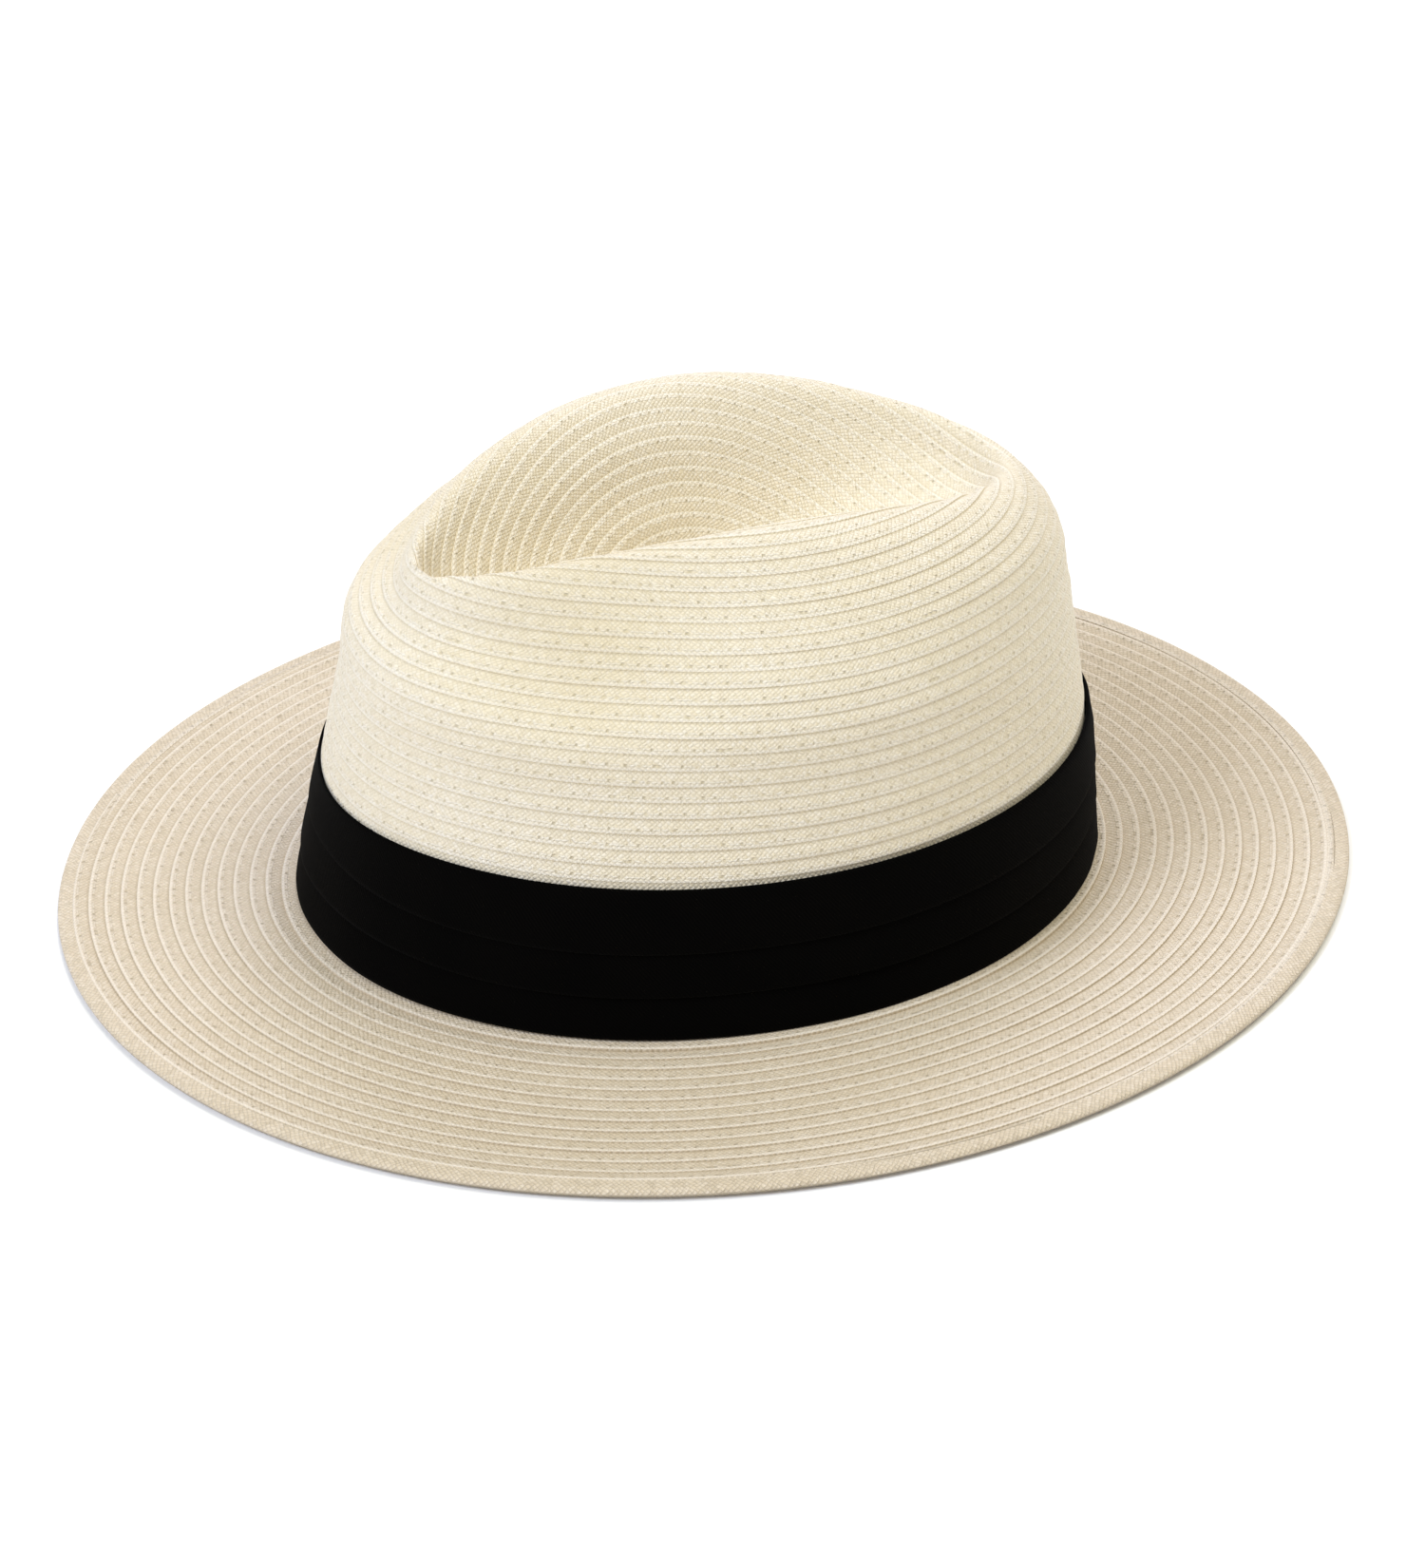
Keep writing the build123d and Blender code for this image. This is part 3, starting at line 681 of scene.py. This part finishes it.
def straw(name, tones, row_width, fold_highlight_tint, lap_shadow_tint, dent_shade_places=()):
    """Flat plait of paper straw: crossing strands, a painted highlight on the folded edge, stitches, and
    painted shadow on the lap and in the hollows.
    tones are its edge (also the painted highlight), pale, deep and shade colours; the last argument lists
    places where painted shade darkens the dents below the front of the ridge."""
    edge, pale, deep, shade = tones
    s = Shader(name, roughness=0.6, specular_ior_level=0.28, sheen_weight=0.10, sheen_roughness=0.5)
    along, rows = s.strip_place()
    across = s.math("FRACT", rows)
    width = s.math("MULTIPLY", across, row_width)
    spot = s.vector(along, width)
    # crossing strands, each over and under the next
    strand = 1.35
    shift = s.math("MULTIPLY_ADD", s.noise(spot, 0.30, 1.0), 1.6, along)
    rising = s.math("DIVIDE", s.math("ADD", shift, width), strand)
    falling = s.math("DIVIDE", s.math("SUBTRACT", shift, width), strand)
    cell_up, cell_down = s.math("FLOOR", rising), s.math("FLOOR", falling)
    over = s.math("FRACT", s.math("MULTIPLY", s.math("ADD", cell_up, cell_down), 0.5))
    over = s.math("MULTIPLY", over, 2.0)
    up, down = s.hump(rising), s.hump(falling)
    top = s.math("MULTIPLY", down, s.math("MULTIPLY_ADD", up, 0.55, 0.45))
    under = s.math("MULTIPLY", up, s.math("MULTIPLY_ADD", down, 0.55, 0.45))
    plait = s.blend(over, top, under)
    long_up, long_down = s.math("MULTIPLY", rising, 0.7), s.math("MULTIPLY", falling, 0.7)
    fine_up, fine_down = s.math("MULTIPLY", rising, 7.0), s.math("MULTIPLY", falling, 7.0)
    grain_up = s.noise(s.vector(long_up, fine_down), 1.0, 2.0)
    grain_down = s.noise(s.vector(fine_up, long_down), 1.0, 2.0)
    fibre = s.blend(over, grain_up, grain_down)
    cell_tone = s.node("ShaderNodeTexWhiteNoise", {0: s.vector(cell_up, cell_down)}, noise_dimensions="2D")
    # a stitch line: thread, then a needle hole, at uneven steps
    stitch_step = 4.3
    jitter = s.math("MULTIPLY", s.noise(s.vector(s.math("MULTIPLY", along, 0.09), 0.0), 1.0, 2.0), 4.0)
    beat = s.math("FRACT", s.math("ADD", s.math("DIVIDE", along, stitch_step), jitter))
    wobble = s.noise(s.vector(s.math("MULTIPLY", along, 0.4), 3.0), 1.0, 1.0)
    line = s.math("ABSOLUTE", s.math("SUBTRACT", width, s.math("MULTIPLY_ADD", wobble, 0.9, 0.95)))
    hole_run = s.math("ABSOLUTE", s.math("SUBTRACT", beat, 0.5))
    hole = s.math("MULTIPLY", s.fade(hole_run, 0.14, 0.03), s.fade(line, 0.50, 0.15))
    thread = s.math("MULTIPLY", s.fade(hole_run, 0.16, 0.26), s.fade(line, 0.26, 0.12))
    # painted highlight on the folded edge on top of the row outside this one, painted shadow on the lap where
    # the next row covers this one and just under the fold
    lap_shadow = s.fade(across, 0.80, 1.0)
    fold_highlight = s.math("MULTIPLY", s.fade(across, 0.02, 0.07), s.fade(across, 0.32, 0.12))
    under_fold_shadow = s.fade(across, 0.03, 0.0)
    body = s.body_place()
    drift = s.noise(body, 26.0, 3.0, 0.55)
    strip_tone = s.noise(s.vector(s.math("MULTIPLY", along, 0.03), 0.0), 1.0, 2.0)
    worn = s.noise(spot, 1.3, 2.0, 0.6)
    colour = s.paint(
        s.tint(s.fade(fibre, 0.30, 0.70), deep, pale),
        (s.fade(drift, 0.38, 0.62), 0.30, deep),
        (s.fade(strip_tone, 0.5, 0.7), 0.30, deep),
        (s.fade(cell_tone, 0.6, 1.0), 0.15, shade),
        (s.fade(cell_tone, 0.35, 0.0), 0.25, edge),
        # painted shade in the hollows between the strands
        (s.fade(plait, 0.45, 0.04), 0.27, shade),
        (thread, 0.35, edge),
        # painted shade in the needle holes
        (hole, 0.40, shade),
        # painted highlight on the folded edge
        (fold_highlight, fold_highlight_tint, edge),
        # painted shadow on the lap under the next row, and just under the fold
        (lap_shadow, lap_shadow_tint, shade),
        (under_fold_shadow, 0.40, shade),
        (s.fade(worn, 0.60, 0.75), 0.20, edge),
    )
    # painted shade over the dents, fading out over its reach
    for place in dent_shade_places:
        away = s.node("ShaderNodeVectorMath", {0: body, 1: place}, output=1, operation="DISTANCE")
        colour = s.paint(colour, (s.fade(away, DENT_SHADE_REACH, 0.0), 0.30, DENT_SHADE))
    s.put(s.surface.inputs["Base Color"], colour)
    s.put(s.surface.inputs["Roughness"], s.math("MULTIPLY_ADD", fibre, 0.30, 0.42))
    height = s.math("MULTIPLY_ADD", plait, 0.60, s.math("MULTIPLY", fibre, 0.15))
    height = s.math("MULTIPLY_ADD", thread, 0.30, height)
    height = s.math("MULTIPLY_ADD", hole, -0.7, height)
    s.bump(height, 0.00032, 1.0)
    return s.material


def cloth(name, pale, deep, pitch, depth, way="twill", **settings):
    """Woven cloth: threads by the strip's own millimetres, with a little fluff and slow colour drift."""
    roughness = 0.85
    s = Shader(name, **{"roughness": roughness, "specular_ior_level": 0.25, "sheen_weight": 0.25, **settings})
    along, across = s.strip_place()
    ribs = s.math("DIVIDE", along, pitch)
    weft = s.math("DIVIDE", across, pitch)
    if way == "twill":
        diagonal = s.hump(s.math("MULTIPLY", s.math("ADD", ribs, weft), 0.5))
        counter = s.hump(s.math("SUBTRACT", ribs, weft))
        threads = s.math("MULTIPLY", diagonal, s.math("MULTIPLY_ADD", counter, 0.4, 0.6))
    elif way == "rib":
        threads = s.math("MULTIPLY", s.hump(ribs), s.math("MULTIPLY_ADD", s.hump(weft), 0.25, 0.75))
    else:
        cells = s.math("ADD", s.math("FLOOR", ribs), s.math("FLOOR", weft))
        over = s.math("FRACT", s.math("MULTIPLY", cells, 0.5))
        threads = s.blend(s.math("MULTIPLY", over, 2.0), s.hump(ribs), s.hump(weft))
    fluff = s.noise(s.vector(along, across), 2.2, 3.0, 0.6)
    drift = s.noise(s.body_place(), 40.0, 2.0)
    # thread tops pale and the hollows between them deep: painted shade between the threads
    colour = s.paint(
        s.tint(s.fade(threads, 0.1, 0.8), deep, pale),
        (s.fade(fluff, 0.45, 0.75), 0.4, pale),
        (s.fade(drift, 0.4, 0.65), 0.35, deep),
    )
    s.put(s.surface.inputs["Base Color"], colour)
    s.put(s.surface.inputs["Roughness"], s.math("MULTIPLY_ADD", fluff, 0.2, roughness - 0.1))
    s.bump(s.math("MULTIPLY_ADD", fluff, 0.4, threads), depth)
    return s.material


def thread(name, pale, deep):
    """Twisted sewing thread."""
    s = Shader(name, roughness=0.6, sheen_weight=0.3)
    twist = s.node("ShaderNodeTexWave", {"Vector": s.body_place(), "Scale": 900.0, "Distortion": 1.5},
                   bands_direction="DIAGONAL")
    # the grooves of the twist deep: painted shade in the twist
    colour = s.tint(twist, deep, pale)
    s.put(s.surface.inputs["Base Color"], s.tint(s.noise(s.body_place(), 300.0), colour, pale))
    s.bump(twist, 0.00008)
    return s.material


def metal(name, pale, deep, roughness):
    """Drawn or rolled metal with fine scratches and a dull film."""
    s = Shader(name, metallic=1.0, roughness=roughness)
    film = s.noise(s.body_place(), 400.0, 4.0, 0.6)
    stretched = s.node("ShaderNodeMapping", {"Vector": s.body_place(), "Scale": (900, 900, 40)})
    scratch = s.noise(stretched, 4.0, 2.0)
    s.put(s.surface.inputs["Base Color"], s.tint(film, deep, pale))
    s.put(s.surface.inputs["Roughness"], s.math("MULTIPLY_ADD", scratch, 0.25, roughness - 0.1))
    s.bump(scratch, 0.00002)
    return s.material


# ======================================================================================
# The hat
# ======================================================================================
# tones of straw: folded edge (the colour of its painted highlight, also of the thread and lighter spots),
# pale, deep and shade
CROWN_TONES = linear(249, 244, 234), linear(240, 230, 210), linear(231, 218, 189), linear(189, 172, 130)
BRIM_TONES = linear(233, 222, 206), linear(218, 204, 182), linear(205, 188, 161), linear(155, 137, 105)
# the edge row's shade is much darker than the brim's: with its lap shade at 0.95 it is painted shadow on the
# lower outer face of the rim
EDGE_TONES = BRIM_TONES[:3] + (linear(118, 106, 84),)
BLACK, BLACK_DEEP = linear(5, 4, 3), linear(1, 1, 1)

# painted shade in the dents below the front of the ridge, where fingers pinch the front of the crown: tone,
# reach and places in metres
DENT_SHADE = linear(205, 186, 138)
DENT_SHADE_REACH = 0.046
PINCHES = ((0.0375, -0.0575, 0.0945), (-0.0375, -0.0575, 0.0945))

crown_straw = straw("crown_straw", CROWN_TONES, CROWN_ROW_WIDTH, 0.35, 0.26, dent_shade_places=PINCHES)
brim_straw = straw("brim_straw", BRIM_TONES, BRIM_ROW_WIDTH, 0.70, 0.30)
# lap shade 0.95: painted shadow on the lower outer face of the rim
edge_straw = straw("brim_edge_straw", EDGE_TONES, EDGE_GIRTH, 0.5, 0.95)
band_cloth = cloth("band_cloth", BLACK, BLACK_DEEP, 0.5, 0.00006, sheen_weight=0.01, specular_ior_level=0.02)
backing_tape = cloth("band_backing", BLACK, BLACK_DEEP, 0.8, 0.00010, way="rib", sheen_weight=0.05)
sweat_cloth = cloth("sweatband_cloth", linear(238, 232, 216), linear(214, 205, 182), 1.1, 0.00022, way="rib")
strap_tape = cloth("strap_tape", linear(232, 226, 210), linear(206, 198, 178), 0.7, 0.00014, way="plain")
loop_cloth = cloth("loop_pad", linear(226, 220, 204), linear(188, 180, 160), 0.55, 0.00030, way="plain",
                   sheen_weight=0.6)
label_cloth = cloth("label_cloth", linear(246, 244, 238), linear(228, 224, 214), 0.35, 0.00005, way="plain")
black_thread = thread("black_thread", linear(26, 25, 25), linear(8, 8, 8))
cream_thread = thread("cream_thread", linear(244, 238, 222), linear(206, 196, 170))
steel = metal("wire", (0.75, 0.75, 0.73, 1.0), (0.55, 0.55, 0.54, 1.0), 0.30)
brass = metal("ferrule", (0.78, 0.62, 0.32, 1.0), (0.60, 0.46, 0.22, 1.0), 0.35)


def finish_piece(piece, material, node, body="hat"):
    """Material, slot, CAD node and body of a piece."""
    piece.data.materials.clear()
    piece.data.materials.append(material)
    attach(piece, body)
    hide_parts(node)
    return piece


finish_piece(make_crown(), crown_straw, "crown")
finish_piece(make_brim(), brim_straw, "brim")
finish_piece(make_edge_row(), edge_straw, "brim_edge_row")

hatband = finish_piece(make_hatband(), band_cloth, "hatband")
keeper = finish_piece(make_keeper(), band_cloth, "hatband_keeper")
backing = wall_strip("hatband_backing_tape", rounded_bar(0.4, 33.4, 0.14, 0.54), 180, 540, 361)
finish_piece(backing, backing_tape, "hatband_backing")
tacks = [(angle, 35.0, 1.72) for angle in np.radians((40, 90, 140, 220, 270, 320))]
tack_piece = make_stitches("hatband_thread_tacks", tacks, 1.7, 0.45, upright=True)
finish_piece(tack_piece, black_thread, "hatband_tacks")

sweat = wall_strip("sweatband_strip", rounded_bar(0.6, 29.0, -2.4, -1.5), 183.5, 536.5, 480,
                   ripple=0.22, seed=41)
finish_piece(sweat, sweat_cloth, "sweatband")
seam = [(angle, 3.6, -2.50) for angle in np.radians(np.linspace(187, 533, 88))]
seam_piece = make_stitches("sweatband_seam", seam, 3.9, 0.5)
finish_piece(seam_piece, cream_thread, "sweatband_stitches")

strap = wall_strip("size_strap_tape", rounded_bar(STRAP_LOW, STRAP_HIGH, -4.55, -3.65), 169, 209, 90,
                   round_ends=2.2)
finish_piece(strap, strap_tape, "size_strap", body="size_strap")
base = wall_strip("size_strap_root", rounded_bar(STRAP_LOW, STRAP_HIGH, -4.55, -2.45), 161, 168.6, 24)
finish_piece(base, strap_tape, "size_strap_base")
pad = wall_strip("size_strap_loop_pad", rounded_bar(STRAP_LOW, STRAP_HIGH, -3.25, -2.45), 186, 207, 60,
                 round_ends=1.4)
finish_piece(pad, loop_cloth, "size_strap_pad")
label = wall_strip("size_label_cloth", rounded_bar(6, 24, -2.75, -2.45), 222, 238, 40)
finish_piece(label, label_cloth, "size_label")

for node, material in (("brim_wire", steel), ("wire_ferrule", brass)):
    part = frame["nodes"][node]
    part.data.materials.clear()
    part.data.materials.append(material)


# ======================================================================================
# Floor, lights and camera
# ======================================================================================
def light(name, towards, spread, power, colour):
    """Large soft lamp, far away in one direction; spread is how wide it looks, in degrees."""
    data = bpy.data.lights.new(name, "SUN")
    data.angle, data.energy, data.color = math.radians(spread), power, colour
    lamp = bpy.data.objects.new(name, data)
    lamp.rotation_euler = Vector(towards).to_track_quat("Z", "Y").to_euler()
    bpy.context.scene.collection.objects.link(lamp)


FLOOR_SIZE = 80
FLOOR_DROP = 0.0002            # keeps the floor clear of the brim's underside

bpy.ops.mesh.primitive_plane_add(size=FLOOR_SIZE, location=(0, 0, -FLOOR_DROP))
floor = bpy.context.active_object
floor.name = "floor"
floor_shader = Shader("floor_paper", roughness=0.9, specular_ior_level=0.1)
floor_grain = floor_shader.noise(floor_shader.body_place(), 60.0, 3.0)
floor_shader.put(floor_shader.surface.inputs["Base Color"],
                 floor_shader.tint(floor_grain, (0.95, 0.95, 0.95, 1), (0.97, 0.97, 0.97, 1)))
floor.data.materials.append(floor_shader.material)

world = bpy.data.worlds.new("studio")
world.use_nodes = True
world.node_tree.nodes["Background"].inputs["Color"].default_value = (1.0, 0.96, 0.92, 1.0)
world.node_tree.nodes["Background"].inputs["Strength"].default_value = 0.45
bpy.context.scene.world = world
light("key", (0.10, -1.30, 1.25), 25.0, 2.05, (0.74, 0.82, 1.0))
light("top", (0.2, 0.4, 1.55), 41.0, 1.40, (1.0, 1.0, 0.82))
light("back", (-1.1, 0.9, 1.05), 32.0, 1.28, (0.80, 0.79, 1.0))

CAMERA_TURN, CAMERA_RISE, CAMERA_ROLL = math.radians(59.54), math.radians(30.40), math.radians(0.646)
CAMERA_DISTANCE = 1.3
CAMERA_LENS = 120.48
SENSOR = 36.0
aim = Vector((0.00058, 0.0, 0.02128))
back = Vector((math.sin(CAMERA_TURN) * math.cos(CAMERA_RISE), -math.cos(CAMERA_TURN) * math.cos(CAMERA_RISE),
               math.sin(CAMERA_RISE)))
right = Vector((math.cos(CAMERA_TURN), math.sin(CAMERA_TURN), 0.0))
axes = Matrix((right, back.cross(right), back)).transposed() @ Matrix.Rotation(CAMERA_ROLL, 3, "Z")
camera_data = bpy.data.cameras.new("camera")
camera_data.sensor_fit, camera_data.sensor_height, camera_data.sensor_width = "VERTICAL", SENSOR, SENSOR
camera_data.lens = CAMERA_LENS
camera = bpy.data.objects.new("camera", camera_data)
camera.matrix_world = Matrix.Translation(aim + back * CAMERA_DISTANCE) @ axes.to_4x4()
bpy.context.scene.collection.objects.link(camera)
bpy.context.scene.camera = camera
bpy.context.scene.view_settings.view_transform = "Standard"
